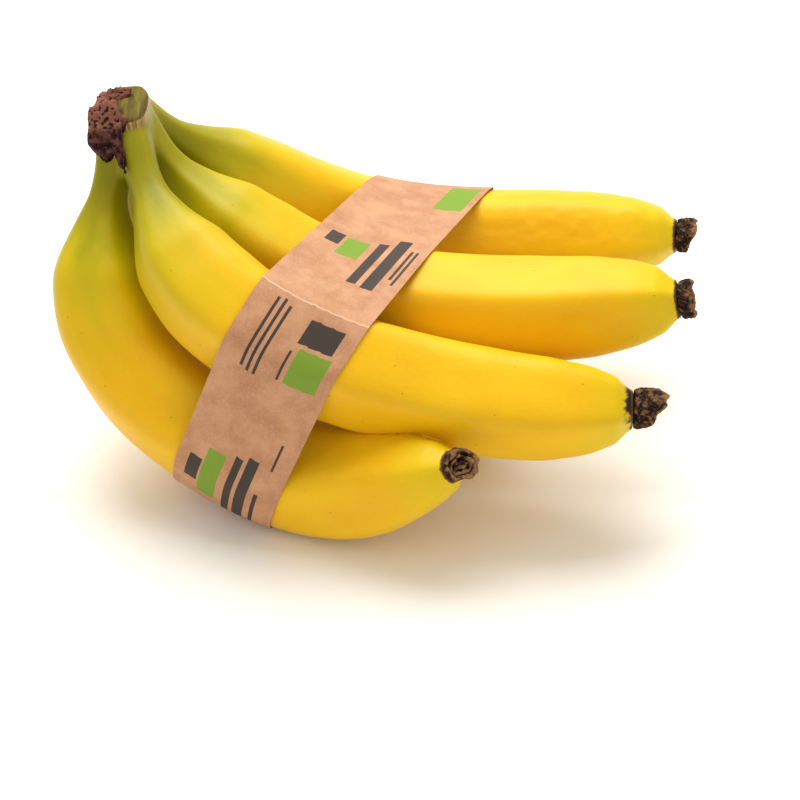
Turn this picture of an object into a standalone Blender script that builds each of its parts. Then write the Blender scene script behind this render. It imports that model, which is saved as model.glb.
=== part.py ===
"""A hand of five bananas, grown together at one crown, with a paper band round its middle.

The hand lies on its outer curve: the crown is up at -X, the blossom ends point to +X.
Sizes are in millimetres here and are turned into metres when a mesh is made.
The origin is the middle of the model's footprint, on the surface it lies on.
"""

import math

import bmesh
import bpy
import numpy as np

MM = 0.001

# Middle of the footprint, in the coordinates that the routes below use
ORIGIN = (2.9, 3.5, 4.4)

# Each finger: points that its centre-line passes, evenly spaced from crown to tip,
# its largest radius, how far its top ridge leans towards -Y in degrees, how flat its five
# faces are (2 is round), how much of the usual radius is left at its tip, and how long the
# dry stub there is
FINGERS = {
    1: {"route": [(-83, 23, 114), (-89.6, 6, 79), (-78.2, -10, 48),
                  (-47, -27.4, 29.7), (-10.5, -40.6, 23.4), (27.5, -64.3, 48.2)],
        "radius": 19.6, "lean": 6, "flatness": 5.0, "tip": 0.74, "stub": 4.2},
    2: {"route": [(-79, 20, 116), (-62, -10, 92), (-34, -29, 74),
                  (4, -32.5, 59), (45, -36.5, 52), (86.5, -39, 51.5)],
        "radius": 18.5, "lean": 4, "flatness": 6.5, "tip": 1.0, "stub": 6.5},
    3: {"route": [(-78, 32, 115), (-51, 19, 87), (-18, 9, 68),
                  (22, 3, 62), (63, -1, 64), (103, -6, 72)],
        "radius": 18.1, "lean": 44, "flatness": 8.0, "tip": 1.0, "stub": 5.0},
    4: {"route": [(-79, 39, 117), (-51, 50, 90), (-16, 56, 67),
                  (23, 59, 56), (66, 57, 57), (108, 50, 61)],
        "radius": 16.8, "lean": 20, "flatness": 5.0, "tip": 1.0, "stub": 5.2},
    5: {"route": [(-82, 38, 106), (-73, 37, 69), (-56, 34, 39),
                  (-29, 29, 23.2), (5, 20, 22.1), (41, 9, 32)],
        "radius": 16.5, "lean": 0, "flatness": 5.0, "tip": 1.0, "stub": 5.5},
}

# Radius along a finger: share of its length, share of its largest radius
PROFILE = [(0.00, 0.40), (0.05, 0.31), (0.09, 0.31), (0.14, 0.52), (0.20, 0.84), (0.28, 0.96),
           (0.40, 0.98), (0.60, 0.98), (0.75, 0.96), (0.85, 0.90), (0.92, 0.76), (0.965, 0.56),
           (1.00, 0.39)]
PROFILE_BLUR = 0.025
FLESH_END = 0.985
SIDES = 20
RIDGES = 5
TIP_FROM = 0.78
LEAN_AT = 0.55

# Dry blossom ends
STUB_SIDES = 12
STUB_WAVE = 0.07
STUB_RINGS = [(0.0, 0.82), (0.3, 0.88), (0.75, 0.84), (1.0, 0.60)]
GAP = 0.3

# Crown: the block where the necks grow together, and its dry, brown cut end
CROWN_FOOT = (-80.0, 29.0, 101.0)
CROWN_TOP = (-83.0, 31.0, 124.2)
CROWN_RINGS = [(0.00, 5.0, 9.0), (0.16, 8.3, 13.0), (0.40, 9.3, 15.0),
               (0.70, 9.5, 15.0), (0.92, 9.5, 14.4), (1.00, 8.6, 13.2)]
CROWN_SIDES = 18
CROWN_SQUARENESS = 3.0
CROWN_WAVE = 0.04
CUT_POINT = (-84.5, 27.0, 119.0)
CUT_NORMAL = (-0.90, -0.26, 0.34)
CUT_HALF_HEIGHT = 15.0
CUT_HALF_BREADTH = 24.0
CUT_DEPTH = 30.0

# Paper band: the slab of space that it wraps, its paper, and how finely it is divided
BAND_NORMAL = (0.86, -0.385, -0.335)
BAND_FROM = -50.5
BAND_TO = -14.3
BAND_SLICES = 6
BAND_SIDES = 48
PAPER_THICKNESS = 0.7
PAPER_GAP = 0.6
HULL_SIDES = 72

# Pressed flat where it lies on the surface
FLAT_LEVEL = 4.4

PEEL = ("peel", (0.86, 0.64, 0.05), 0.42)
BARK = ("crown_bark", (0.16, 0.07, 0.05), 0.85)
STUB = ("blossom_end", (0.07, 0.045, 0.03), 0.9)
PAPER = ("kraft_paper", (0.60, 0.38, 0.24), 0.75)


def natural_spline(points, count):
    """Points on the natural cubic spline through evenly spaced knots."""
    knots = np.array(points, float)
    last = len(knots) - 1
    system = np.eye(last + 1)
    pull = np.zeros_like(knots)
    for row in range(1, last):
        system[row, row - 1:row + 2] = (1, 4, 1)
        pull[row] = 6 * (knots[row - 1] - 2 * knots[row] + knots[row + 1])
    bend = np.linalg.solve(system, pull)
    place = np.linspace(0, last, count)
    cell = np.minimum(place.astype(int), last - 1)
    after = (place - cell)[:, None]
    before = 1 - after
    return (before * knots[cell] + after * knots[cell + 1]
            + (before ** 3 - before) * bend[cell] / 6
            + (after ** 3 - after) * bend[cell + 1] / 6)


def unit(vectors):
    """Vectors scaled to length 1 along the last axis."""
    return vectors / np.linalg.norm(vectors, axis=-1, keepdims=True)


def radius_share(shares):
    """The finger's radius as a share of its largest, blurred so that it has no corners."""
    offsets = np.linspace(-1, 1, 9) * PROFILE_BLUR
    weights = np.cos(np.linspace(-1, 1, 9) * math.pi / 2.4) ** 2
    places, values = zip(*PROFILE)
    spread = np.interp(np.add.outer(shares, offsets), places, values)
    return spread @ (weights / weights.sum())


def section(angles, flatness):
    """A five-sided section with rounded edges, one of them at angle 0; its mean radius is 1."""
    def outline(places):
        middles = (np.arange(RIDGES) + 0.5) * 2 * math.pi / RIDGES
        facing = np.maximum(np.cos(np.subtract.outer(places, middles)), 0)
        return (facing ** flatness).sum(axis=-1) ** (-1 / flatness)
    whole_turn = np.linspace(0, 2 * math.pi, 360, endpoint=False)
    return outline(angles) / outline(whole_turn).mean()


class Finger:
    """A finger's centre-line and the frame that its cross-sections are drawn in."""

    def __init__(self, route, radius, lean, flatness, tip, stub):
        self.line = natural_spline(route, 400)
        steps = np.linalg.norm(np.diff(self.line, axis=0), axis=1)
        self.along = np.concatenate([[0], np.cumsum(steps)])
        self.length = self.along[-1]
        self.radius = radius
        self.flatness = flatness
        self.tip = tip
        self.stub = stub
        directions = np.gradient(self.line, axis=0)
        self.bend_axis = unit(np.cross(directions[0], directions[-1]))
        self.directions = unit(directions)
        centre, side, up, _ = self.frame(LEAN_AT)
        ridge = np.array([0, -math.sin(math.radians(lean)), math.cos(math.radians(lean))])
        self.ridge_angle = math.atan2(ridge @ up, ridge @ side)

    def frame(self, share):
        """Centre, two cross-section directions and the forward direction at a share."""
        at = share * self.length
        centre = np.array([np.interp(at, self.along, self.line[:, axis]) for axis in range(3)])
        ahead = unit(np.array([np.interp(at, self.along, self.directions[:, axis])
                               for axis in range(3)]))
        side = unit(np.cross(self.bend_axis, ahead))
        up = np.cross(ahead, side)
        return centre, side, up, ahead

    def mean_radius(self, share):
        """The finger's mean radius at a share of its length."""
        past = min(max((share - TIP_FROM) / (1 - TIP_FROM), 0), 1)
        narrowed = 1 - (1 - self.tip) * past * past * (3 - 2 * past)
        return self.radius * float(radius_share(np.array([share]))[0]) * narrowed

    def ring(self, share, sides):
        """The cross-section at a share of the length."""
        centre, side, up, _ = self.frame(share)
        turned = np.arange(sides) * 2 * math.pi / sides
        angles = self.ridge_angle + turned
        size = self.mean_radius(share) * section(turned, self.flatness)
        return centre + np.outer(size * np.cos(angles), side) + np.outer(size * np.sin(angles), up)


def finger_shares():
    """Where the cross-sections of a finger are: closer together at the neck and the tip."""
    return np.unique(np.concatenate([np.linspace(0, 0.24, 8),
                                     np.linspace(0.24, 0.84, 12),
                                     np.linspace(0.84, FLESH_END, 6)]))


def principled(name, colour, roughness):
    """A plain material with the part's colour."""
    material = bpy.data.materials.new(name)
    material.use_nodes = True
    shader = material.node_tree.nodes["Principled BSDF"]
    shader.inputs["Base Color"].default_value = (*colour, 1)
    shader.inputs["Roughness"].default_value = roughness
    shader.inputs["Metallic"].default_value = 0
    return material


def mesh_object(name, points, faces, finish=None):
    """An object from points in millimetres, moved to the model's origin."""
    mesh = bpy.data.meshes.new(name)
    places = (np.array(points, float) - np.array(ORIGIN)) * MM
    mesh.from_pydata(places.tolist(), [], faces)
    builder = bmesh.new()
    builder.from_mesh(mesh)
    bmesh.ops.recalc_face_normals(builder, faces=builder.faces)
    builder.to_mesh(mesh)
    builder.free()
    made = bpy.data.objects.new(name, mesh)
    bpy.context.scene.collection.objects.link(made)
    if finish:
        mesh.materials.append(principled(*finish))
    return made


def loft(name, rings, finish=None):
    """A closed solid through rings with the same number of points, with flat ends."""
    sides = len(rings[0])
    faces = []
    for row in range(len(rings) - 1):
        for column in range(sides):
            beside = (column + 1) % sides
            low = row * sides
            high = low + sides
            faces.append((low + column, low + beside, high + beside, high + column))
    faces.append(tuple(range(sides)))
    faces.append(tuple((len(rings) - 1) * sides + column for column in range(sides)))
    return mesh_object(name, np.concatenate(rings), faces, finish)


def apply_boolean(target, operation, tools):
    """Joins or cuts the target with each tool, keeps the result and removes the tools."""
    for tool in tools:
        tool.hide_render = True
        tool.display_type = 'WIRE'
        step = target.modifiers.new(tool.name, 'BOOLEAN')
        step.operation = operation
        step.solver = 'EXACT'
        step.object = tool
    evaluated = target.evaluated_get(bpy.context.evaluated_depsgraph_get())
    result = bpy.data.meshes.new_from_object(evaluated)
    target.modifiers.clear()
    target.data = result
    for tool in tools:
        bpy.data.objects.remove(tool)


def crown_block(name, finish=None, swell=0.0):
    """The block that the necks grow out of: a rounded slab with a slightly uneven side."""
    foot = np.array(CROWN_FOOT)
    top = np.array(CROWN_TOP)
    ahead = unit(top - foot)
    foot = foot - ahead * swell
    top = top + ahead * swell
    thick = unit(np.cross((0, 1, 0), ahead))
    broad = np.cross(ahead, thick)
    angles = np.arange(CROWN_SIDES) * 2 * math.pi / CROWN_SIDES
    power = 2 / CROWN_SQUARENESS
    across = np.sign(np.cos(angles)) * np.abs(np.cos(angles)) ** power
    along = np.sign(np.sin(angles)) * np.abs(np.sin(angles)) ** power
    rings = []
    for share, half_thick, half_broad in CROWN_RINGS:
        wave = 1 + CROWN_WAVE * np.sin(3 * angles + 4 * share)
        centre = foot + share * (top - foot)
        rings.append(centre + np.outer((half_thick * wave + swell) * across, thick)
                     + np.outer((half_broad * wave + swell) * along, broad))
    return loft(name, rings, finish)


def cut_box(name, shift):
    """A box on the dry side of the crown's cut plane, its face moved outwards by shift."""
    normal = unit(np.array(CUT_NORMAL))
    first = unit(np.cross(normal, (0, 1, 0)))
    second = np.cross(normal, first)
    start = np.array(CUT_POINT) + normal * shift
    rings = []
    for depth in (0, CUT_DEPTH):
        middle = start + normal * depth
        rings.append(np.array([middle + a * CUT_HALF_HEIGHT * first + b * CUT_HALF_BREADTH * second
                               for a, b in ((1, 1), (-1, 1), (-1, -1), (1, -1))]))
    return loft(name, rings)


def floor_box():
    """A box under the surface that the hand lies on."""
    half = 200.0
    corners = [(half, half), (-half, half), (-half, -half), (half, -half)]
    rings = [np.array([(x, y, height) for x, y in corners]) for height in (-50.0, FLAT_LEVEL)]
    return loft("floor_cut", rings)


def banana_hand(fingers):
    """The five fingers and their crown, grown together as one body."""
    hand = crown_block("banana_hand", PEEL)
    tubes = [loft(f"finger_{number}", [finger.ring(share, SIDES) for share in finger_shares()])
             for number, finger in fingers.items()]
    apply_boolean(hand, 'UNION', tubes)
    dry_end = crown_block("dry_end", swell=GAP)
    apply_boolean(dry_end, 'INTERSECT', [cut_box("dry_side", 0.0)])
    apply_boolean(hand, 'DIFFERENCE', [dry_end, floor_box()])
    return hand


def crown_bark():
    """The dry end of the crown, on the other side of the cut plane."""
    bark = crown_block("crown_bark", BARK)
    apply_boolean(bark, 'INTERSECT', [cut_box("dry_side", GAP)])
    return bark


def blossom_end(number, finger):
    """The dry stub at a finger's tip: a short, uneven plug."""
    centre, side, up, ahead = finger.frame(FLESH_END)
    base = finger.mean_radius(FLESH_END)
    angles = np.arange(STUB_SIDES) * 2 * math.pi / STUB_SIDES
    rings = []
    for share, size in STUB_RINGS:
        wave = 1 + STUB_WAVE * np.sin(3 * angles + number + 2 * share)
        middle = centre + ahead * (GAP + share * finger.stub)
        rings.append(middle + np.outer(base * size * wave * np.cos(angles), side)
                     + np.outer(base * size * wave * np.sin(angles), up))
    return loft(f"blossom_end_{number}", rings, STUB)


def band_slice(fingers, level, directions, first, second):
    """How far the fingers reach each way where a plane across the band cuts them."""
    normal = unit(np.array(BAND_NORMAL))
    reach = np.full(len(directions), -1e9)
    for finger in fingers.values():
        rings = np.array([finger.ring(share, HULL_SIDES) for share in finger_shares()])
        heights = rings @ normal - level
        for line in range(HULL_SIDES):
            below = np.flatnonzero(np.diff(np.sign(heights[:, line])))
            for row in below:
                low, high = heights[row, line], heights[row + 1, line]
                share = low / (low - high)
                point = rings[row, line] * (1 - share) + rings[row + 1, line] * share
                flat = np.array([point @ first, point @ second])
                reach = np.maximum(reach, directions @ flat)
    return reach


def band_loop(reach, directions, level, first, second):
    """The corners of the paper's outline: where neighbouring tangent lines meet."""
    normal = unit(np.array(BAND_NORMAL))
    corners = []
    for here in range(len(directions)):
        ahead = (here + 1) % len(directions)
        pair = np.array([directions[here], directions[ahead]])
        flat = np.linalg.solve(pair, np.array([reach[here], reach[ahead]]))
        corners.append(level * normal + flat[0] * first + flat[1] * second)
    return np.array(corners)


def paper_band(fingers):
    """A closed paper loop, stretched tight round all the fingers."""
    normal = unit(np.array(BAND_NORMAL))
    first = unit(np.cross((0, 1, 0), normal))
    second = np.cross(normal, first)
    angles = (np.arange(BAND_SIDES) + 0.5) * 2 * math.pi / BAND_SIDES
    directions = np.stack([np.cos(angles), np.sin(angles)], axis=1)
    levels = np.linspace(BAND_FROM, BAND_TO, BAND_SLICES)
    inner = []
    outer = []
    for level in levels:
        reach = band_slice(fingers, level, directions, first, second) + PAPER_GAP
        inner.append(band_loop(reach, directions, level, first, second))
        outer.append(band_loop(reach + PAPER_THICKNESS, directions, level, first, second))
    for inside, outside in zip(inner, outer):
        inside[:, 2] = np.maximum(inside[:, 2], FLAT_LEVEL + PAPER_THICKNESS)
        outside[:, 2] = np.maximum(outside[:, 2], FLAT_LEVEL)
    rings = np.array(inner + outer[::-1])
    faces = []
    for row in range(len(rings)):
        low = row * BAND_SIDES
        high = (row + 1) % len(rings) * BAND_SIDES
        for column in range(BAND_SIDES):
            beside = (column + 1) % BAND_SIDES
            faces.append((low + column, low + beside, high + beside, high + column))
    return mesh_object("paper_band", rings.reshape(-1, 3), faces, PAPER)


def build():
    """Clears the scene and makes every piece."""
    for old in list(bpy.data.objects):
        bpy.data.objects.remove(old)
    fingers = {number: Finger(**shape) for number, shape in FINGERS.items()}
    pieces = [banana_hand(fingers), crown_bark(), paper_band(fingers)]
    pieces += [blossom_end(number, finger) for number, finger in fingers.items()]
    for piece in pieces:
        piece.data.shade_smooth()
        piece.data.set_sharp_from_angle(angle=math.radians(40))


build()
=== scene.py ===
"""Looks for a hand of five bananas with a kraft paper band, lying on its outer curve.

Routes and sizes repeat the solid model's named values, in millimetres, in the same coordinates.
mesh_object moves them to the model's origin and turns them into metres. Most pairs of numbers
are where a smooth step starts and where it ends.
"""

import math

import bmesh
import bpy
import numpy as np
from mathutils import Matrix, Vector


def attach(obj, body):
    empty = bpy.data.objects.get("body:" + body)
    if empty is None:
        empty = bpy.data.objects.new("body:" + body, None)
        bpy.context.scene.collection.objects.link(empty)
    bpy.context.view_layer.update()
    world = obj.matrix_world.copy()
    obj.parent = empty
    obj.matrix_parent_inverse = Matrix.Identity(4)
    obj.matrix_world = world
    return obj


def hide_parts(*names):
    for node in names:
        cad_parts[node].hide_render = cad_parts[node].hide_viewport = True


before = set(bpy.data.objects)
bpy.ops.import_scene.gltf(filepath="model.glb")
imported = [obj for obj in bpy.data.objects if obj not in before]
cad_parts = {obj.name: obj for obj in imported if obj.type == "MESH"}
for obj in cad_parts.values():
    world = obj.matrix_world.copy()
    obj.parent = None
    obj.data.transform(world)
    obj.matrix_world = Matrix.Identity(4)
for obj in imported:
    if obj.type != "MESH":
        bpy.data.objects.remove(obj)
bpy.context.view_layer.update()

MM = 0.001

# The solid model's origin in the coordinates of the routes, and the height of the ground there
ORIGIN = np.array((2.9, 3.5, 4.4))
FLAT_LEVEL = 4.4

# Each finger: points that its centre-line passes, evenly spaced from crown to tip,
# its largest radius, how far its top ridge leans towards -Y in degrees, how flat its five
# faces are (2 is round), how much of the usual radius is left at its tip, and how long the
# dry stub there is
FINGERS = {
    1: {"route": [(-83, 23, 114), (-89.6, 6, 79), (-78.2, -10, 48),
                  (-47, -27.4, 29.7), (-10.5, -40.6, 23.4), (27.5, -64.3, 48.2)],
        "radius": 19.6, "lean": 6, "flatness": 5.0, "tip": 0.74, "stub": 4.2},
    2: {"route": [(-79, 20, 116), (-62, -10, 92), (-34, -29, 74),
                  (4, -32.5, 59), (45, -36.5, 52), (86.5, -39, 51.5)],
        "radius": 18.5, "lean": 4, "flatness": 6.5, "tip": 1.0, "stub": 6.5},
    3: {"route": [(-78, 32, 115), (-51, 19, 87), (-18, 9, 68),
                  (22, 3, 62), (63, -1, 64), (103, -6, 72)],
        "radius": 18.1, "lean": 44, "flatness": 8.0, "tip": 1.0, "stub": 5.0},
    4: {"route": [(-79, 39, 117), (-51, 50, 90), (-16, 56, 67),
                  (23, 59, 56), (66, 57, 57), (108, 50, 61)],
        "radius": 16.8, "lean": 20, "flatness": 5.0, "tip": 1.0, "stub": 5.2},
    5: {"route": [(-82, 38, 106), (-73, 37, 69), (-56, 34, 39),
                  (-29, 29, 23.2), (5, 20, 22.1), (41, 9, 32)],
        "radius": 16.5, "lean": 0, "flatness": 5.0, "tip": 1.0, "stub": 5.5},
}

# Radius along a finger: share of its length, and share of its largest radius there. Its corners
# are blurred. Then the shares of the length where the stub starts, where a narrow tip starts to
# narrow, and where the lean is measured
PROFILE = [(0.00, 0.40), (0.05, 0.31), (0.09, 0.31), (0.14, 0.52), (0.20, 0.84), (0.28, 0.96),
           (0.40, 0.98), (0.60, 0.98), (0.75, 0.96), (0.85, 0.90), (0.92, 0.76), (0.965, 0.56),
           (1.00, 0.39)]
PROFILE_BLUR = 0.025
BLUR_SAMPLES = 9
BLUR_FALLOFF = 2.4
FLESH_END = 0.985
TIP_FROM = 0.78
LEAN_AT = 0.55
RIDGES = 5

# How finely a finger's line and sections are worked out, and how its points are searched
SPLINE_POINTS = 2000
LINE_ROWS = 800
TURN_SAMPLES = 360
SEARCH_STRIDE = 10
SEARCH_BATCH = 20000

# Crown block, whose rings are share of its height, half its thickness and half its breadth,
# and the plane that parts its dry end from the green rest
CROWN_FOOT = (-80.0, 29.0, 101.0)
CROWN_TOP = (-83.0, 31.0, 124.2)
CROWN_RINGS = [(0.00, 5.0, 9.0), (0.16, 8.3, 13.0), (0.40, 9.3, 15.0),
               (0.70, 9.5, 15.0), (0.92, 9.5, 14.4), (1.00, 8.6, 13.2)]
CROWN_SQUARENESS = 3.0
CROWN_WAVE = 0.04
CROWN_LOBES = 3
CROWN_TWIST = 4
CROWN_ROWS = 24
CROWN_SIDES = 48
CUT_POINT = (-84.5, 27.0, 119.0)
CUT_NORMAL = (-0.90, -0.26, 0.34)
CUT_HALF_HEIGHT = 15.0
CUT_HALF_BREADTH = 24.0
CUT_DEPTH = 30.0

# Gap between two pieces that meet
GAP = 0.3

# Dry slabs of the crown: outline as x and height in the camera's picture plane, in
# millimetres from the camera's target, and the nearest and farthest depth from that plane
SLABS = [([(-91, 94), (-92, 89), (-92, 83), (-89.4, 79.7), (-86.4, 78), (-84.5, 79.3),
           (-81.5, 81), (-80.5, 83), (-81.2, 88.8), (-83.1, 96)], -46.0, -33.0),
         ([(-84.5, 82), (-80.5, 83), (-79.8, 72.5), (-83.8, 79)], -46.5, -43.5),
         ([(-87.7, 101.2), (-83.5, 102.7), (-79.6, 102.3), (-80.2, 100), (-83.8, 97.6),
           (-83.1, 95.3), (-86.7, 94)], -29.5, -24.5)]

# Fibres, strands and lumps on the sides of the bark, and crumbs and lumps on its top, which
# is between two levels under the crown's top
BARK_VOXEL = 0.3
BARK_STRETCH = 0.72
FIBRES = {"size": 0.9, "seed": 3}
STRANDS = {"size": 2.4, "seed": 4}
LUMPS = {"size": 5.0, "seed": 7}
CRUMBS = {"size": 0.8, "seed": 9}
FIBRE_HEIGHT = 0.4
STRAND_HEIGHT = 0.55
LUMP_HEIGHT = 0.6
BARK_SINK = 0.2
BARK_TOP = (-2.0, -0.3)
TOP_CRUMB_HEIGHT = 0.8
TOP_LUMP_HEIGHT = 0.4

# Paper band: the way across it, its two edges along that way, how finely it is divided, the
# stretch of the fingers that it may touch, its thickness and its gap to the peel
BAND_NORMAL = (0.86, -0.385, -0.335)
BAND_FROM = -50.5
BAND_TO = -14.3
BAND_SIDES = 440
BAND_SLICES = 34
BAND_LEVELS = 9
WRAPPED_SHARES = (0.1, 0.95)
WRAPPED_ROWS = 70
WRAPPED_SIDES = 90
PAPER_THICKNESS = 0.35
PAPER_GAP = 0.55
PAPER_SHARP = math.radians(25)

# Fold in the band: the way that the ridge below it faces, how long a flat run is, how far
# round the flat run is looked for, and how closely columns are drawn together at the fold
FOLD_FACING = (0.0, -0.55, 0.84)
CREASE_RUN = 6.0
CREASE_SEARCH = 80
CREASE_COLUMNS = 30
CREASE_STEP = 0.03

# Print on the band: from and to round it, from and to across it, dark ink or green ink. Then how
# far round it the print may reach, how well the ink covers, and half the breadth and the
# strength of the painted highlight along the fold
PRINT = [(-49, -41, 4.5, 9.5, "dark"), (-48, -35, 10.5, 18, "green"), (-50, -20, 20.4, 23.4, "dark"),
         (-55, -19, 25.2, 29.2, "dark"), (-48, -28, 30.8, 31.7, "dark"), (-48, -25, 32.5, 33.4, "dark"),
         (-109, -86, 25, 34, "green"), (3, 29, 7.6, 8.6, "dark"), (2.5, 30, 9.9, 10.9, "dark"),
         (4, 30, 12.2, 13.2, "dark"), (5, 14, 20.3, 31.5, "dark"), (15.5, 28.5, 22, 32.5, "green"),
         (17, 28, 19.6, 20.4, "dark"), (70, 81, 4, 8.5, "dark"), (64, 88, 9.2, 15.5, "green"),
         (62, 94, 18.3, 20.9, "dark"), (60, 97, 22.3, 26, "dark"), (72, 92, 28.2, 29.6, "dark"),
         (50, 61, 30, 30.8, "dark")]
PRINT_END = 125.0
PRINT_COVER = 0.96
FOLD_HIGHLIGHT_HALF = 0.3
FOLD_HIGHLIGHT_STRENGTH = 0.6
INKS = {"dark": (0.022, 0.017, 0.015), "green": (0.16, 0.30, 0.01)}

# Dry stubs: outline from the outer wall over the rim to the core, as shares of length and
# radius, how pale each of its points is, and the way each rim is torn longer
STUB_OUTLINE = [(0.00, 0.30), (0.00, 0.84), (0.25, 0.92), (0.60, 0.97), (0.90, 0.95), (1.00, 0.86),
                (0.92, 0.74), (0.55, 0.66), (0.62, 0.58), (0.88, 0.50), (0.80, 0.42), (0.45, 0.36),
                (0.60, 0.26), (0.78, 0.16), (0.70, 0.03)]
STUB_PALENESS = [0.1, 0.1, 0.1, 0.15, 0.5, 1.0, 0.8, 0.0, 0.2, 0.8, 0.5, 0.0, 0.3, 0.6, 0.3]
STUB_TEARS = {1: (0.0, 0.65, -0.30), 2: (0.0, -0.1, 0.50), 3: (0.0, -0.1, 0.05),
              4: (0.0, 0.0, 0.35), 5: (0.0, 0.2, 0.2)}

# How finely a stub is divided, how wide its foot is, and its torn edge, lobes, ripples, folds
# and crumbs
STUB_ROWS = 90
STUB_SIDES = 120
STUB_WIDTH = 0.80
STUB_RAGGED = 0.16
STUB_RAGGED_SCALE = 3
STUB_LOBES = 3
STUB_LOBE_HEIGHT = 0.05
STUB_RIPPLES = 5
STUB_RIPPLE_HEIGHT = 0.04
STUB_FOLD_SIZE = 1.7
STUB_FOLD_HEIGHT = 0.35
STUB_FOLD_SEED = 5
STUB_CRUMB_SIZE = 0.75
STUB_CRUMB_HEIGHT = 0.22
STUB_CRUMB_SEED = 9
STUB_TONE = 0.4

# Voxels that join the fingers, how much thinner the fingers are before the skin is drawn on
# them, and the shares of their length where they thin and thicken
VOXEL = 0.8
HAND_ROWS = 90
HAND_SIDES = 40
SKIN_SHRINK = 0.7
THIN_FROM = (0.10, 0.18)
THICK_FROM = (0.86, 0.93)

# Where the skin takes over from the voxels, how the joins at the necks are smoothed, up to
# which level below the crown's top, and how the skin draws in at the very tip
SKIN_FROM = (0.055, 0.10)
CAP_FROM = FLESH_END - 0.004
JOIN_WEIGHT = 0.5
JOIN_TURNS = 10
JOIN_REACH = 0.5
JOIN_LEVELS = (-5.0, -3.0)
TIP_TAPER = 0.26
TIP_TAPER_RUN = 0.03

# Dents in the peel and wrinkles on one finger, both drawn out along it, and the shares of the
# length where they start and end
DENTS = {"size": 14.0, "seed": 3}
DENT_STRETCH = (0.5, 1, 1)
DENT_DEPTH = 0.22
DENTS_FROM = (0.08, 0.2)
DENTS_TO = (0.93, 0.98)
WRINKLED_FINGER = 4
WRINKLES = {"size": 2.6, "seed": 5}
WRINKLE_STRETCH = (0.7, 1, 1)
WRINKLE_DEPTH = 0.13
WRINKLES_FROM = (0.45, 0.6)

# The finger whose tip has a sooty patch, the side of the tip that it is on, where it starts,
# and how far its edge leans and wanders
SOOTY_FINGER = 2
SOOTY_ANGLE = 1.6
SOOT_FROM = (0.984, 0.990)
SOOT_LEAN = 0.012
SOOT_WANDER = 0.010
SOOT_EDGE = {"size": 1.6, "seed": 11}

# How far apart the fingers lie in the straightened coordinates of the peel's patterns
STRAIGHT_SPACING = 400

# How far along a finger the crown's colours can reach, and a level that they never reach
CROWN_REACH = 0.2
NO_CROWN = -100

# Smooth noise: numbers that scatter the corners of its cells
NOISE_STEPS = np.array([374761393, 668265263, 1440662683])
NOISE_SEED_STEP = 974634777
NOISE_MIX = 1274126177
NOISE_BITS = 0xFFFF

# Floor, and light: a warm surround and one white softbox, high behind the fruit
FLOOR_HALF = 4000.0
FLOOR_COLOUR = (0.94, 0.935, 0.915)
FLOOR_ROUGHNESS = 0.9
FLOOR_SPECULAR = 0.1
AMBIENT_COLOUR = (1.0, 0.955, 0.87)
AMBIENT_STRENGTH = 0.78
SOFTBOX_PLACE = (-80.0, 380.0, 900.0)
SOFTBOX_SIZE = 800.0
SOFTBOX_POWER = 11.5

# Camera, as fitted to the photograph
CAMERA_ELEVATION = math.radians(36)
CAMERA_DISTANCE = 850.0
PIXELS_PER_MM = 2.94
IMAGE_WIDTH = 800
SENSOR_WIDTH = 36.0
CAMERA_TARGET = (8.6, 0.0, 26.7)
CAMERA_CLIP = (0.01, 20.0)

# Patterns of the peel in straightened coordinates, and of the olive facet in metres: scale of
# each axis, then scale, detail and roughness of the noise
STREAK_PATTERN = ((0.012, 0.09, 0.09), 1.0, 4.0, 0.5)
CLOUD_PATTERN = ((0.03, 0.05, 0.05), 1.0, 3.0, 0.5)
FINE_PATTERN = ((0.5, 0.9, 0.9), 1.0, 4.0, 0.6)
FIBRE_PATTERN = ((0.15, 1.6, 1.6), 1.0, 4.0, 0.6)
OLIVE_PATTERN = ((500, 60, 60), 1.0, 4.0, 0.6)

# Where the greens run, as shares of a finger's length, and how strong they are at most
NECK_RUN = (0.12, 0.40)
DEEP_RUN = (0.05, 0.22)
NECK_WANDER = 0.20
TIP_RUN = (0.90, 1.0)
TIP_WANDER = 0.05
TIP_STRENGTH = 0.7

# Specks: how densely they may lie, their size, how few are picked, and how strong they are
SPECK_STRETCH = (0.22, 0.3, 0.3)
SPECK_RADIUS = (0.05, 0.10)
SPECK_PICK = (0.74, 0.84)
SPECK_STRENGTH = 0.55

# The brown line on a ridge, the rim round a stub, and the shine of the peel
RIDGE_LINE = (0.90, 1.0)
RIDGE_STRENGTH = 0.10
RIM_RUN = (FLESH_END - 0.002, FLESH_END + 0.001)
RIM_WANDER = 0.006
PEEL_ROUGHNESS = (0.36, 0.48)
OLIVE_ROUGHER = 0.3
PEEL_SPECULAR = 0.20
PEEL_BUMP = {"strength": 0.10, "distance": 0.0006}

# Colours of the peel
RIPE = (0.78, 0.43, 0.002)
RIPE_LIGHT = (0.82, 0.485, 0.003)
RIPE_PALE = (0.86, 0.56, 0.03)
NECK_GREEN = (0.47, 0.39, 0.002)
DEEP_GREEN = (0.25, 0.225, 0.001)
TIP_GREEN = (0.66, 0.50, 0.003)
SPECK_BROWN = (0.16, 0.07, 0.01)
RIDGE_BROWN = (0.55, 0.33, 0.01)
SCAR_DARK = (0.20, 0.12, 0.03)
SCAR_LIGHT = (0.40, 0.27, 0.10)
OLIVE_DARK = (0.075, 0.05, 0.003)
OLIVE_LIGHT = (0.15, 0.12, 0.004)
SOOT = (0.018, 0.012, 0.008)
RIM_BROWN = (0.10, 0.04, 0.015)

# Where each patchy colour gives way to the next, and how strong the palest yellow is at most
RIPE_PATCHES = (0.35, 0.65)
PALE_PATCHES = (0.3, 0.8)
PALE_STRENGTH = 0.2
SCAR_PATCHES = (0.4, 0.6)
OLIVE_PATCHES = (0.35, 0.65)

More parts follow.
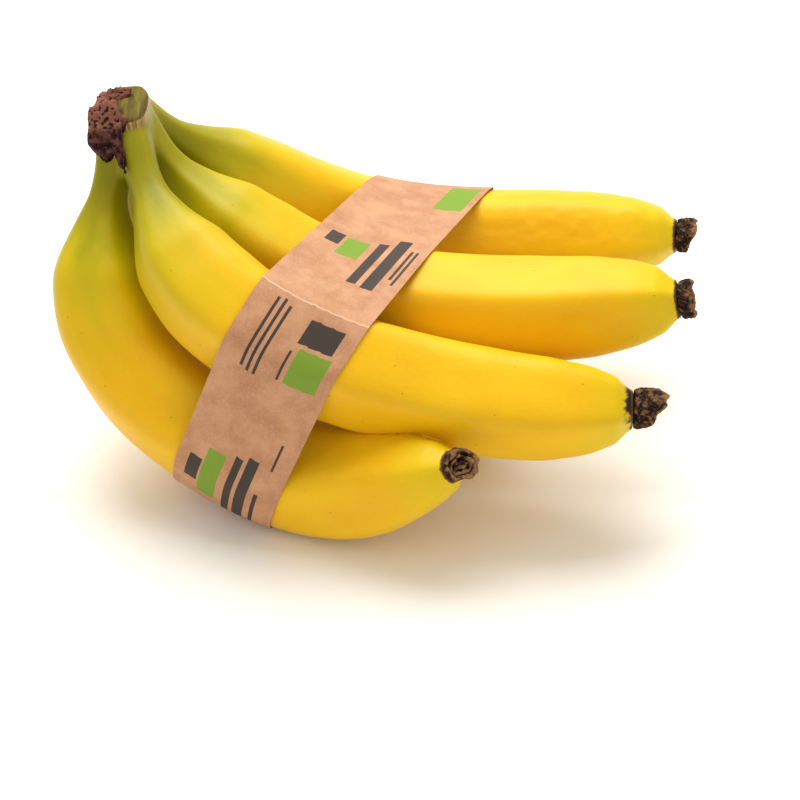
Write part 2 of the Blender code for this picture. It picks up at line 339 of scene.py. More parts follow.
# Levels below the crown's top where the pale scar and the olive facet start, and how far both
# edges wander
SCAR_FROM = (-3.9, -3.4)
OLIVE_FROM = (-1.5, -1.0)
CROWN_WANDER = 0.8

# Dry ends: grain and flecks as scale, detail and roughness of the noise, their bump and
# shine, their colours, and how much the relief counts in them
BARK_GRAIN = (900.0, 5.0, 0.65)
GRAIN_MIDDLE = 0.25
BARK_LIGHT_RUN = (0.0, 0.75)
BARK_PALE_RUN = (-0.2, 0.3)
BARK_FLECKS = (2600.0, 2.0)
FLECK_RUN = (0.60, 0.68)
FLECK_STRENGTH = 0.6
BARK_BUMP = {"strength": 0.9, "distance": 0.0008}
BARK_ROUGHNESS = 0.85
BARK_SPECULAR = 0.15
BARK_LOOK = {"dark": (0.010, 0.003, 0.003), "light": (0.115, 0.036, 0.028),
             "top_colour": (0.27, 0.105, 0.07), "relief_scale": 0.7}
BLOSSOM_LOOK = {"dark": (0.010, 0.005, 0.004), "light": (0.30, 0.15, 0.06),
                "top_colour": (0.30, 0.15, 0.06), "relief_scale": 0.6}

# Paper: clouds and fibre as scale, detail and roughness of the noise, shine, bump and colours
KRAFT_CLOUDS = (110.0, 4.0, 0.6)
KRAFT_CLOUD_RUN = (0.3, 0.7)
KRAFT_GRAIN = (1700.0, 4.0, 0.7)
KRAFT_FIBRE_RUN = (0.45, 0.75)
KRAFT_FIBRE_STRENGTH = 0.5
KRAFT_ROUGHNESS = (0.62, 0.8)
KRAFT_BUMP = {"strength": 0.2, "distance": 0.0002}
KRAFT_DARK = (0.42, 0.185, 0.085)
KRAFT_LIGHT = (0.55, 0.28, 0.145)
KRAFT_FIBRE = (0.66, 0.40, 0.23)
# Pale colour of the painted highlight along the fold
KRAFT_FOLD_HIGHLIGHT = (0.80, 0.58, 0.40)


def unit(vectors):
    """Vectors scaled to length 1 along the last axis."""
    return vectors / np.linalg.norm(vectors, axis=-1, keepdims=True)


def smoothstep(low, high, values):
    """0 below low, 1 above high, and a smooth ramp between."""
    share = np.clip((values - low) / (high - low), 0, 1)
    return share * share * (3 - 2 * share)


def natural_spline(points, count):
    """Points on the natural cubic spline through evenly spaced knots."""
    knots = np.array(points, float)
    last = len(knots) - 1
    system = np.eye(last + 1)
    pull = np.zeros_like(knots)
    for row in range(1, last):
        system[row, row - 1:row + 2] = (1, 4, 1)
        pull[row] = 6 * (knots[row - 1] - 2 * knots[row] + knots[row + 1])
    bend = np.linalg.solve(system, pull)
    place = np.linspace(0, last, count)
    cell = np.minimum(place.astype(int), last - 1)
    after = (place - cell)[:, None]
    before = 1 - after
    return (before * knots[cell] + after * knots[cell + 1]
            + (before ** 3 - before) * bend[cell] / 6
            + (after ** 3 - after) * bend[cell + 1] / 6)


def radius_share(shares):
    """The finger's radius as a share of its largest, blurred so that it has no corners."""
    samples = np.linspace(-1, 1, BLUR_SAMPLES)
    weights = np.cos(samples * math.pi / BLUR_FALLOFF) ** 2
    places, values = zip(*PROFILE)
    spread = np.interp(np.add.outer(shares, samples * PROFILE_BLUR), places, values)
    return spread @ (weights / weights.sum())


def section(angles, flatness):
    """A five-sided section with rounded edges, one of them at angle 0; its mean radius is 1."""
    def outline(places):
        total = np.zeros_like(places)
        for face in range(RIDGES):
            middle = (face + 0.5) * 2 * math.pi / RIDGES
            total += np.maximum(np.cos(places - middle), 0) ** flatness
        return total ** (-1 / flatness)
    whole_turn = np.linspace(0, 2 * math.pi, TURN_SAMPLES, endpoint=False)
    return outline(angles) / outline(whole_turn).mean()


class Finger:
    """A finger's centre-line with the frames that its sections are drawn in."""

    def __init__(self, number, route, radius, lean, flatness, tip, stub):
        self.number = number
        self.radius = radius
        self.flatness = flatness
        self.tip = tip
        self.stub = stub
        dense = natural_spline(route, SPLINE_POINTS)
        steps = np.linalg.norm(np.diff(dense, axis=0), axis=1)
        along = np.concatenate([[0], np.cumsum(steps)])
        self.length = along[-1]
        self.shares = np.linspace(0, 1, LINE_ROWS + 1)
        at = self.shares * self.length
        self.line = np.stack([np.interp(at, along, dense[:, axis]) for axis in range(3)], axis=1)
        self.ahead = unit(np.gradient(self.line, axis=0))
        bend_axis = unit(np.cross(self.ahead[0], self.ahead[-1]))
        self.side = unit(np.cross(bend_axis, self.ahead))
        self.up = np.cross(self.ahead, self.side)
        middle = int(LEAN_AT * LINE_ROWS)
        ridge = np.array([0, -math.sin(math.radians(lean)), math.cos(math.radians(lean))])
        self.ridge_angle = math.atan2(ridge @ self.up[middle], ridge @ self.side[middle])

    def mean_radius(self, shares):
        """The finger's mean radius at shares of its length."""
        narrowed = 1 - (1 - self.tip) * smoothstep(TIP_FROM, 1, shares)
        return self.radius * radius_share(shares) * narrowed

    def skin_radius(self, shares, angles):
        """Distance from the centre-line to the skin."""
        return self.mean_radius(shares) * section(angles - self.ridge_angle, self.flatness)

    def ring(self, share, sides, shrink=0.0):
        """The section at a share of the length, as points."""
        row = int(round(share * LINE_ROWS))
        angles = self.ridge_angle + np.arange(sides) * 2 * math.pi / sides
        size = self.skin_radius(np.full(sides, share), angles) - shrink
        return (self.line[row] + np.outer(size * np.cos(angles), self.side[row])
                + np.outer(size * np.sin(angles), self.up[row]))

    def locate(self, points):
        """Each point's share of the length, angle, distance from the line and nearest row."""
        coarse = np.empty(len(points), int)
        sparse = self.line[::SEARCH_STRIDE]
        for start in range(0, len(points), SEARCH_BATCH):
            part = points[start:start + SEARCH_BATCH]
            gap = ((part[:, None] - sparse[None]) ** 2).sum(axis=2)
            coarse[start:start + SEARCH_BATCH] = gap.argmin(axis=1) * SEARCH_STRIDE
        beside = np.arange(-SEARCH_STRIDE, SEARCH_STRIDE + 1)
        window = np.clip(coarse[:, None] + beside, 0, LINE_ROWS)
        gap = ((points[:, None] - self.line[window]) ** 2).sum(axis=2)
        row = window[np.arange(len(points)), gap.argmin(axis=1)]
        away = points - self.line[row]
        ahead = (away * self.ahead[row]).sum(axis=1)
        share = np.clip(self.shares[row] + ahead / self.length, 0, 1)
        across = (away * self.side[row]).sum(axis=1)
        above = (away * self.up[row]).sum(axis=1)
        return share, np.arctan2(above, across), np.linalg.norm(away, axis=1), row


fingers = {number: Finger(number, **shape) for number, shape in FINGERS.items()}


def mesh_object(name, points, faces):
    """An object from points in millimetres, moved to the model's origin."""
    mesh = bpy.data.meshes.new(name)
    mesh.from_pydata(((np.array(points, float) - ORIGIN) * MM).tolist(), [], faces)
    mesh.validate()
    made = bpy.data.objects.new(name, mesh)
    bpy.context.scene.collection.objects.link(made)
    return made


def loft_faces(rows, sides, first=0, caps=True):
    """Faces of a closed tube of rings."""
    faces = []
    for row in range(rows - 1):
        for column in range(sides):
            beside = (column + 1) % sides
            low = first + row * sides
            faces.append((low + column, low + beside, low + sides + beside, low + sides + column))
    if caps:
        faces.append(tuple(first + column for column in reversed(range(sides))))
        faces.append(tuple(first + (rows - 1) * sides + column for column in range(sides)))
    return faces


def face_outwards(mesh):
    """Turns a closed mesh's faces to point out."""
    builder = bmesh.new()
    builder.from_mesh(mesh)
    bmesh.ops.recalc_face_normals(builder, faces=builder.faces)
    builder.to_mesh(mesh)
    builder.free()


def points_of(mesh):
    """A mesh's points in millimetres, in the coordinates of the routes."""
    flat = np.empty(len(mesh.vertices) * 3)
    mesh.vertices.foreach_get("co", flat)
    return flat.reshape(-1, 3) / MM + ORIGIN


def set_points(mesh, points):
    """Writes points in route coordinates back to a mesh."""
    mesh.vertices.foreach_set("co", ((points - ORIGIN) * MM).ravel())
    mesh.update()


def set_attribute(mesh, name, values):
    """A value or vector for each point."""
    values = np.asarray(values, float)
    kind = 'FLOAT_VECTOR' if values.ndim == 2 else 'FLOAT'
    layer = mesh.attributes.new(name, kind, 'POINT')
    layer.data.foreach_set("vector" if values.ndim == 2 else "value", values.ravel())


def value_noise(points, size, seed):
    """Smooth noise from -1 to 1 at each point, with features of the given size."""
    places = points / size
    cells = np.floor(places).astype(np.int64)
    share = places - cells
    share = share ** 3 * (share * (share * 6 - 15) + 10)
    total = np.zeros(len(points))
    for corner in range(8):
        step = np.array([corner & 1, corner >> 1 & 1, corner >> 2 & 1])
        mixed = (cells + step) @ NOISE_STEPS + seed * NOISE_SEED_STEP
        mixed = (mixed ^ (mixed >> 13)) * NOISE_MIX
        value = ((mixed ^ (mixed >> 16)) & NOISE_BITS) / (NOISE_BITS / 2) - 1
        total += value * np.where(step, share, 1 - share).prod(axis=1)
    return total


def normals_of(mesh):
    """A mesh's point normals."""
    flat = np.empty(len(mesh.vertices) * 3)
    mesh.vertices.foreach_get("normal", flat)
    return flat.reshape(-1, 3)


def relax(mesh, points, weights, turns):
    """Moves each point towards the middle of its neighbours, by its weight."""
    edges = np.empty(len(mesh.edges) * 2, int)
    mesh.edges.foreach_get("vertices", edges)
    start, end = edges.reshape(-1, 2).T
    count = np.bincount(edges, minlength=len(points))[:, None]
    for _ in range(turns):
        total = np.zeros_like(points)
        np.add.at(total, start, points[end])
        np.add.at(total, end, points[start])
        points = points + weights[:, None] * (total / np.maximum(count, 1) - points)
    return points


def voxel_mesh(source, size):
    """The outside of a set of overlapping closed shells, as one even mesh."""
    step = source.modifiers.new("voxels", 'REMESH')
    step.mode = 'VOXEL'
    step.voxel_size = size * MM
    evaluated = source.evaluated_get(bpy.context.evaluated_depsgraph_get())
    result = bpy.data.meshes.new_from_object(evaluated)
    source.modifiers.clear()
    return result


def crown_axis():
    """The way that the crown points."""
    return unit(np.array(CROWN_TOP) - np.array(CROWN_FOOT))


def crown_rings(swell=0.0):
    """Rings of the crown block, swollen by a distance."""
    foot = np.array(CROWN_FOOT)
    top = np.array(CROWN_TOP)
    ahead = crown_axis()
    thick = unit(np.cross((0, 1, 0), ahead))
    broad = np.cross(ahead, thick)
    angles = np.arange(CROWN_SIDES) * 2 * math.pi / CROWN_SIDES
    power = 2 / CROWN_SQUARENESS
    across = np.sign(np.cos(angles)) * np.abs(np.cos(angles)) ** power
    along = np.sign(np.sin(angles)) * np.abs(np.sin(angles)) ** power
    places, half_thick, half_broad = zip(*CROWN_RINGS)
    rings = []
    for share in np.linspace(0, 1, CROWN_ROWS):
        wave = 1 + CROWN_WAVE * np.sin(CROWN_LOBES * angles + CROWN_TWIST * share)
        centre = foot - ahead * swell + share * (top - foot + 2 * ahead * swell)
        rings.append(centre
                     + np.outer((np.interp(share, places, half_thick) * wave + swell) * across, thick)
                     + np.outer((np.interp(share, places, half_broad) * wave + swell) * along, broad))
    return rings


def crown_solid(name, swell=0.0):
    """The crown block as a closed mesh."""
    points = np.concatenate(crown_rings(swell))
    made = mesh_object(name, points, loft_faces(CROWN_ROWS, CROWN_SIDES))
    face_outwards(made.data)
    return made


def cut_box(name, shift):
    """A box on the dry side of the crown's cut plane."""
    normal = unit(np.array(CUT_NORMAL))
    first = unit(np.cross(normal, (0, 1, 0)))
    second = np.cross(normal, first)
    start = np.array(CUT_POINT) + normal * shift
    points = []
    for depth in (0, CUT_DEPTH):
        middle = start + normal * depth
        points += [middle + a * CUT_HALF_HEIGHT * first + b * CUT_HALF_BREADTH * second
                   for a, b in ((1, 1), (-1, 1), (-1, -1), (1, -1))]
    made = mesh_object(name, points, loft_faces(2, 4))
    face_outwards(made.data)
    return made


def apply_boolean(target, operation, tool):
    """Cuts the target with the tool, keeps the result and removes the tool."""
    step = target.modifiers.new(tool.name, 'BOOLEAN')
    step.operation = operation
    step.solver = 'EXACT'
    step.object = tool
    evaluated = target.evaluated_get(bpy.context.evaluated_depsgraph_get())
    result = bpy.data.meshes.new_from_object(evaluated)
    target.modifiers.clear()
    target.data = result
    bpy.data.objects.remove(tool)


def rough_hand():
    """Fingers and crown as overlapping closed shells in one mesh, a little thin at the middle."""
    points = list(np.concatenate(crown_rings()))
    faces = loft_faces(CROWN_ROWS, CROWN_SIDES)
    shares = np.linspace(0, FLESH_END, HAND_ROWS)
    shrink = SKIN_SHRINK * smoothstep(*THIN_FROM, shares) * (1 - smoothstep(*THICK_FROM, shares))
    for finger in fingers.values():
        rings = [finger.ring(share, HAND_SIDES, thin) for share, thin in zip(shares, shrink)]
        faces += loft_faces(HAND_ROWS, HAND_SIDES, first=len(points))
        points += list(np.concatenate(rings))
    made = mesh_object("rough_hand", points, faces)
    face_outwards(made.data)
    made.data = voxel_mesh(made, VOXEL)
    dry = crown_solid("dry_end", swell=GAP)
    apply_boolean(dry, 'INTERSECT', cut_box("dry_side", 0.0))
    apply_boolean(made, 'DIFFERENCE', dry)
    return made


def nearest_finger(points):
    """For each point: the finger that it is on, and its place on that finger."""
    best = np.full(len(points), np.inf)
    found = {key: np.zeros(len(points)) for key in ("finger", "share", "angle", "row")}
    for number, finger in fingers.items():
        share, angle, away, row = finger.locate(points)
        excess = away - finger.mean_radius(share)
        closer = excess < best
        best[closer] = excess[closer]
        found["finger"][closer] = number
        found["share"][closer] = share[closer]
        found["angle"][closer] = angle[closer]
        found["row"][closer] = row[closer]
    return found


def draw_skin(points, place, on_skin):
    """Moves points onto the fingers' skin; gives their straightened places and nearness to ridges."""
    straight = np.zeros_like(points)
    ridge = np.zeros(len(points))
    for number, finger in fingers.items():
        chosen = place["finger"] == number
        share = place["share"][chosen]
        angle = place["angle"][chosen]
        row = place["row"][chosen].astype(int)
        size = finger.skin_radius(share, angle)
        size = size * (1 - TIP_TAPER * smoothstep(FLESH_END - TIP_TAPER_RUN, FLESH_END, share))
        centre = (finger.line[row]
                  + finger.ahead[row] * ((share - finger.shares[row]) * finger.length)[:, None])
        skin = (centre + finger.side[row] * (size * np.cos(angle))[:, None]
                + finger.up[row] * (size * np.sin(angle))[:, None])
        keep = on_skin[chosen][:, None]
        points[chosen] = points[chosen] * (1 - keep) + skin * keep
        cap = (share >= CAP_FROM)[:, None]
        points[chosen] -= TIP_TAPER * cap * (points[chosen] - centre)
        turned = angle - finger.ridge_angle
        straight[chosen] = np.stack([share * finger.length + STRAIGHT_SPACING * number,
                                     size * np.cos(turned), size * np.sin(turned)], axis=1)
        ridge[chosen] = np.cos(RIDGES * turned) * 0.5 + 0.5
    return straight, ridge


def peel_relief(place, straight):
    """Heights of the dents and wrinkles in the peel."""
    body = smoothstep(*DENTS_FROM, place["share"]) * (1 - smoothstep(*DENTS_TO, place["share"]))
    dents = DENT_DEPTH * value_noise(straight * DENT_STRETCH, **DENTS)
    wrinkled = (place["finger"] == WRINKLED_FINGER) * smoothstep(*WRINKLES_FROM, place["share"])
    wrinkles = WRINKLE_DEPTH * wrinkled * value_noise(straight * WRINKLE_STRETCH, **WRINKLES)
    return body * (dents + wrinkles)


def soot(points, place):
    """How sooty each point is: a patch on one side of one tip."""
    sooty = (place["finger"] == SOOTY_FINGER) * np.cos(place["angle"] - SOOTY_ANGLE)
    wander = SOOT_WANDER * value_noise(points, **SOOT_EDGE)
    edge = place["share"] + SOOT_LEAN * sooty + wander
    return smoothstep(*SOOT_FROM, edge) * (sooty > 0)


def banana_hand():
    """The hand as one closed mesh: voxels give the joins, the finger formula gives the skin."""
    made = rough_hand()
    mesh = made.data
    points = points_of(mesh)
    place = nearest_finger(points)
    crown_level = (points - np.array(CROWN_TOP)) @ crown_axis()
    on_skin = smoothstep(*SKIN_FROM, place["share"]) * (place["share"] < CAP_FROM)
    near_crown = (place["share"] < JOIN_REACH) * (1 - smoothstep(*JOIN_LEVELS, crown_level))
    points = relax(mesh, points, JOIN_WEIGHT * (1 - on_skin) * near_crown, JOIN_TURNS)
    straight, ridge = draw_skin(points, place, on_skin)
    set_points(mesh, points)
    points = points + normals_of(mesh) * peel_relief(place, straight)[:, None]
    points[:, 2] = np.maximum(points[:, 2], FLAT_LEVEL)
    set_points(mesh, points)
    set_attribute(mesh, "along", place["share"])
    set_attribute(mesh, "straight", straight)
    set_attribute(mesh, "ridge", ridge)
    set_attribute(mesh, "soot", soot(points, place))
    set_attribute(mesh, "crown", np.where(place["share"] < CROWN_REACH, crown_level, NO_CROWN))
    made.name = "banana_peel"
    mesh.shade_smooth()
    return made


def slab_rows(outline, near, far):
    """The two faces of a slab that is given by its outline in the picture plane."""
    rise = math.sin(CAMERA_ELEVATION)
    run = math.cos(CAMERA_ELEVATION)
    return [np.array([(x, height * rise + depth * run,
                       CAMERA_TARGET[2] + height * run - depth * rise) for x, height in outline])
            for depth in (near, far)]


def crown_bark():
    """The dry end of the crown: rough, torn, fibrous, with a flap hanging down."""
    bark = crown_solid("crown_bark_fibres")
    apply_boolean(bark, 'INTERSECT', cut_box("dry_side", GAP))
    points = list(points_of(bark.data))
    faces = [tuple(face.vertices) for face in bark.data.polygons]
    for outline, near, far in SLABS:
        faces += loft_faces(2, len(outline), first=len(points))
        points += list(np.concatenate(slab_rows(outline, near, far)))
    bpy.data.objects.remove(bark)
    bark = mesh_object("crown_bark_fibres", points, faces)
    face_outwards(bark.data)
    mesh = voxel_mesh(bark, BARK_VOXEL)
    bark.data = mesh
    points = points_of(mesh)
    normals = normals_of(mesh)
    ahead = crown_axis()
    level = (points - np.array(CROWN_TOP)) @ ahead
    stretched = points - BARK_STRETCH * np.outer(points @ ahead, ahead)
    fibres = value_noise(stretched, **FIBRES)
    strands = value_noise(stretched, **STRANDS)
    lumps = value_noise(points, **LUMPS)
    crumbs = value_noise(points, **CRUMBS)
    rough = FIBRE_HEIGHT * fibres + STRAND_HEIGHT * strands + LUMP_HEIGHT * lumps - BARK_SINK
    top = smoothstep(*BARK_TOP, level)
    rise = top * (TOP_CRUMB_HEIGHT * np.maximum(crumbs, 0) + TOP_LUMP_HEIGHT * lumps)
    points = points + normals * rough[:, None] + np.outer(rise, ahead)
    set_points(mesh, points)
    set_attribute(mesh, "relief", fibres * (1 - top) + crumbs * top)
    set_attribute(mesh, "top", top)
    mesh.shade_smooth()
    return bark


def blossom_end(finger):
    """The dry end of a finger: a crumpled cup of torn layers round a core."""
    start = int(FLESH_END * LINE_ROWS)
    centre = finger.line[start]
    ahead = finger.ahead[start]
    base = STUB_WIDTH * float(finger.mean_radius(np.array([FLESH_END]))[0])
    angles = np.arange(STUB_SIDES) * 2 * math.pi / STUB_SIDES
    spokes = (np.outer(np.cos(angles), finger.side[start])
              + np.outer(np.sin(angles), finger.up[start]))
    longer = 1 + spokes @ np.array(STUB_TEARS[finger.number])
    depths, widths = zip(*STUB_OUTLINE)
    corners = np.arange(len(depths))
    places = np.linspace(0, len(depths) - 1, STUB_ROWS)
    depth = np.interp(places, corners, depths)
    width = np.interp(places, corners, widths)
    paleness = np.repeat(np.interp(places, corners, STUB_PALENESS), STUB_SIDES)
    ragged = 1 + STUB_RAGGED * value_noise(spokes * STUB_RAGGED_SCALE, 1.0, finger.number)
    wave = (1 + STUB_LOBE_HEIGHT * np.sin(STUB_LOBES * angles + finger.number)
            + STUB_RIPPLE_HEIGHT * np.sin(STUB_RIPPLES * angles))
    points = []
    for reach, size in zip(depth, width):
        middle = centre + np.outer(GAP + reach * finger.stub * longer * ragged, ahead)
        points.append(middle + spokes * (base * size * wave)[:, None])
    points = np.concatenate(points)
    made = mesh_object(f"dry_blossom_{finger.number}", points, loft_faces(STUB_ROWS, STUB_SIDES))
    face_outwards(made.data)
    folds = value_noise(points, STUB_FOLD_SIZE, finger.number * STUB_FOLD_SEED)
    crumbs = value_noise(points, STUB_CRUMB_SIZE, finger.number * STUB_CRUMB_SEED)
    rough = STUB_FOLD_HEIGHT * folds + STUB_CRUMB_HEIGHT * crumbs
    points = points + normals_of(made.data) * rough[:, None]
    reach = (points - centre) @ ahead
    points = points + np.outer(np.maximum(GAP - reach, 0), ahead)
    set_points(made.data, points)
    set_attribute(made.data, "relief", 0.5 * (folds + crumbs) + paleness - STUB_TONE)
    set_attribute(made.data, "top", np.zeros(len(points)))
    made.data.shade_smooth()
    return made


def band_reach(directions, level, first, second, normal):
    """How far the fingers reach each way in a plane across the band."""
    reach = np.full(len(directions), -np.inf)
    for finger in fingers.values():
        shares = np.linspace(*WRAPPED_SHARES, WRAPPED_ROWS)
        rings = np.array([finger.ring(share, WRAPPED_SIDES) for share in shares])
        heights = rings @ normal - level
        for line in range(rings.shape[1]):
            for row in np.flatnonzero(np.diff(np.sign(heights[:, line]))):
                low = heights[row, line]
                high = heights[row + 1, line]
                share = low / (low - high)
                point = rings[row, line] * (1 - share) + rings[row + 1, line] * share
                reach = np.maximum(reach, directions @ np.array([point @ first, point @ second]))
    return reach


def band_loop(size, angles, plane, floor):
    """One loop of the band: where neighbouring tangent lines meet, kept above the floor."""
    level, normal, first, second = plane
    beside = np.roll(size, -1)
    angle_to = np.roll(angles, -1)
    sweep = np.sin(angle_to - angles)
    across = (size * np.sin(angle_to) - beside * np.sin(angles)) / sweep
    above = (beside * np.cos(angles) - size * np.cos(angle_to)) / sweep
    points = level * normal + np.outer(across, first) + np.outer(above, second)
    points[:, 2] = np.maximum(points[:, 2], floor)
    return points


def fold_column(points):
    """The column where the flat run behind the second finger's ridge ends."""
    ridge = int((points @ np.array(FOLD_FACING)).argmax())
    steps = np.linalg.norm(points - np.roll(points, 1, axis=0), axis=1)
    column = ridge
    while steps[column] < CREASE_RUN and column > ridge - CREASE_SEARCH:
        column -= 1
    return column


def crease(points, start):
    """Draws the columns after the start together into a sharp fold."""
    end = start + CREASE_COLUMNS
    back = unit(points[start] - points[start - 1])
    on = unit(points[end + 1] - points[end])
    gap = points[end] - points[start]
    lean = back @ on
    corner = points[start] + back * (gap @ back - (gap @ on) * lean) / (1 - lean * lean)
    middle = CREASE_COLUMNS / 2
    for place in range(1, CREASE_COLUMNS):
        offset = (place - middle) * CREASE_STEP
        points[start + place] = corner + (back if offset < 0 else on) * offset


def length_from_fold(points, start):
    """How far round one loop each point is from the fold, negative behind it."""
    fold = start + CREASE_COLUMNS // 2
    turned = np.roll(points, -fold, axis=0)
    steps = np.linalg.norm(np.diff(turned, axis=0, append=turned[:1]), axis=1)
    along = np.cumsum(steps) - steps
    along = np.where(along > steps.sum() / 2, along - steps.sum(), along)
    return np.roll(along, fold)


def paper_band():
    """A thin closed paper loop, stretched round all the fingers and creased once."""
    normal = unit(np.array(BAND_NORMAL))
    first = unit(np.cross((0, 1, 0), normal))
    second = np.cross(normal, first)
    angles = (np.arange(BAND_SIDES) + 0.5) * 2 * math.pi / BAND_SIDES
    directions = np.stack([np.cos(angles), np.sin(angles)], axis=1)
    levels = np.linspace(BAND_FROM, BAND_TO, BAND_LEVELS)
    coarse = np.array([band_reach(directions, level, first, second, normal) for level in levels])
    fine = np.linspace(BAND_FROM, BAND_TO, BAND_SLICES)
    reach = np.stack([np.interp(fine, levels, coarse[:, way]) for way in range(BAND_SIDES)], axis=1)
    sheets = [[band_loop(size + PAPER_GAP + lift, angles, (level, normal, first, second),
                         FLAT_LEVEL + lift) for size, level in zip(reach, fine)]
              for lift in (0, PAPER_THICKNESS)]
    starts = [fold_column(points) for points in sheets[1]]
    for points, start in zip(sheets[0] + sheets[1], starts + starts):
        crease(points, start)
    rings = sheets[0] + sheets[1][::-1]
    faces = loft_faces(len(rings), BAND_SIDES, caps=False)
    low = (len(rings) - 1) * BAND_SIDES
    for column in range(BAND_SIDES):
        beside = (column + 1) % BAND_SIDES
        faces.append((low + column, low + beside, beside, column))
    made = mesh_object("kraft_band", np.concatenate(rings), faces)
    face_outwards(made.data)
    lengths = [length_from_fold(points, start) for points, start in zip(sheets[1], starts)]
    around = np.concatenate(lengths + lengths[::-1])
    across = np.concatenate([fine, fine[::-1]]) - BAND_FROM
    set_attribute(made.data, "round", around)
    set_attribute(made.data, "printed", np.abs(around) < PRINT_END)
    set_attribute(made.data, "across", np.repeat(across, BAND_SIDES))
    made.data.shade_smooth()
    made.data.set_sharp_from_angle(angle=PAPER_SHARP)
    return made


class Nodes:
    """A small helper for building a material's node tree."""

    def __init__(self, name):
        self.material = bpy.data.materials.new(name)
        self.material.use_nodes = True
        self.tree = self.material.node_tree
        self.shader = self.tree.nodes["Principled BSDF"]

    def add(self, kind, inputs=None, **settings):
        """Adds a node, sets its properties and its inputs, and links what is a socket."""
        node = self.tree.nodes.new(kind)
        for key, value in settings.items():
            setattr(node, key, value)
        for key, value in (inputs or {}).items():
            self.put(node.inputs[key], value)
        return node

    def put(self, socket, value):
        """Links a socket to the input, or sets the input's value."""
        if isinstance(value, bpy.types.NodeSocket):
            self.tree.links.new(value, socket)
        else:
            socket.default_value = value

    def attribute(self, name, output="Fac"):
        """A mesh attribute's socket."""
        return self.add("ShaderNodeAttribute", attribute_name=name).outputs[output]

    def math(self, operation, *values):
        """A sum, product or other calculation with up to three values."""
        node = self.add("ShaderNodeMath", operation=operation)
        for number, value in enumerate(values):
            self.put(node.inputs[number], value)
        return node.outputs[0]

    def ramp(self, value, low, high, start=0.0, end=1.0):
        """A smooth step from start to end as the value goes from low to high."""
        node = self.add("ShaderNodeMapRange", {"Value": value, "From Min": low, "From Max": high,
                                               "To Min": start, "To Max": end})
        node.interpolation_type = 'SMOOTHSTEP'
        return node.outputs[0]

    def mix(self, share, first, second):
        """Two colours mixed by a share."""
        node = self.add("ShaderNodeMix", data_type='RGBA')
        self.put(node.inputs[0], share)
        self.put(node.inputs[6], (*first, 1) if isinstance(first, tuple) else first)
        self.put(node.inputs[7], (*second, 1) if isinstance(second, tuple) else second)
        return node.outputs[2]

    def stretched(self, vector, scale):
        """A vector with each axis multiplied."""
        return self.add("ShaderNodeVectorMath", {0: vector, 1: scale},
                        operation='MULTIPLY').outputs[0]

    def pattern(self, vector, stretch, *settings):
        """A noise value in stretched coordinates."""
        return self.noise(self.stretched(vector, stretch), *settings)

    def noise(self, vector, scale, detail, roughness=0.5):
        """A noise value."""
        return self.add("ShaderNodeTexNoise", {"Vector": vector, "Scale": scale, "Detail": detail,
                                               "Roughness": roughness}).outputs[0]

    def bump(self, height, strength, distance):
        """Bump for the shader's normal."""
        node = self.add("ShaderNodeBump", {"Height": height})
        node.inputs["Strength"].default_value = strength
        node.inputs["Distance"].default_value = distance
        self.tree.links.new(node.outputs[0], self.shader.inputs["Normal"])


def ripe_colour(nodes, along, straight, fine):
    """Golden yellow, green at the necks and a little at the tips."""
    streaks = nodes.pattern(straight, *STREAK_PATTERN)
    clouds = nodes.pattern(straight, *CLOUD_PATTERN)
    yellow = nodes.mix(nodes.ramp(clouds, *RIPE_PATCHES), RIPE, RIPE_LIGHT)
    yellow = nodes.mix(nodes.ramp(fine, *PALE_PATCHES, 0.0, PALE_STRENGTH), yellow, RIPE_PALE)
    middle = nodes.math('SUBTRACT', along, NECK_WANDER / 2)
    wander = nodes.math('MULTIPLY_ADD', streaks, NECK_WANDER, middle)
    neck = nodes.ramp(wander, *NECK_RUN, 1.0, 0.0)
    green = nodes.mix(neck, yellow, NECK_GREEN)
    deep = nodes.ramp(wander, *DEEP_RUN, 1.0, 0.0)
    green = nodes.mix(deep, green, DEEP_GREEN)
    near_tip = nodes.math('MULTIPLY_ADD', streaks, TIP_WANDER, along)
    tip = nodes.ramp(near_tip, *TIP_RUN, 0.0, TIP_STRENGTH)
    return nodes.mix(tip, green, TIP_GREEN)


def specks_and_ridges(nodes, colour, straight):
    """The colour with small brown specks and a faint brown line on each ridge."""
    specks = nodes.add("ShaderNodeTexVoronoi",
                       {"Vector": nodes.stretched(straight, SPECK_STRETCH), "Scale": 1.0})
    dot = nodes.ramp(specks.outputs["Distance"], *SPECK_RADIUS, 1.0, 0.0)
    pick = nodes.add("ShaderNodeSeparateColor", {0: specks.outputs["Color"]}).outputs[0]
    rare = nodes.ramp(pick, *SPECK_PICK)
    speck = nodes.math('MULTIPLY', nodes.math('MULTIPLY', dot, rare), SPECK_STRENGTH)
    colour = nodes.mix(speck, colour, SPECK_BROWN)
    ridge = nodes.attribute("ridge")
    edge = nodes.math('MULTIPLY', nodes.ramp(ridge, *RIDGE_LINE), RIDGE_STRENGTH)
    return nodes.mix(edge, colour, RIDGE_BROWN)


def crown_end(nodes, colour, fine, fibres):
    """The colour with the pale scar and the olive facet of the crown, and where the facet is."""
    middle = nodes.math('SUBTRACT', nodes.attribute("crown"), CROWN_WANDER / 2)
    level = nodes.math('MULTIPLY_ADD', fibres, CROWN_WANDER, middle)
    scar_colour = nodes.mix(nodes.ramp(fine, *SCAR_PATCHES), SCAR_DARK, SCAR_LIGHT)
    colour = nodes.mix(nodes.ramp(level, *SCAR_FROM), colour, scar_colour)
    olive = nodes.ramp(level, *OLIVE_FROM)
    place = nodes.add("ShaderNodeTexCoord").outputs["Object"]
    stripes = nodes.pattern(place, *OLIVE_PATTERN)
    olive_colour = nodes.mix(nodes.ramp(stripes, *OLIVE_PATCHES), OLIVE_DARK, OLIVE_LIGHT)
    return nodes.mix(olive, colour, olive_colour), olive


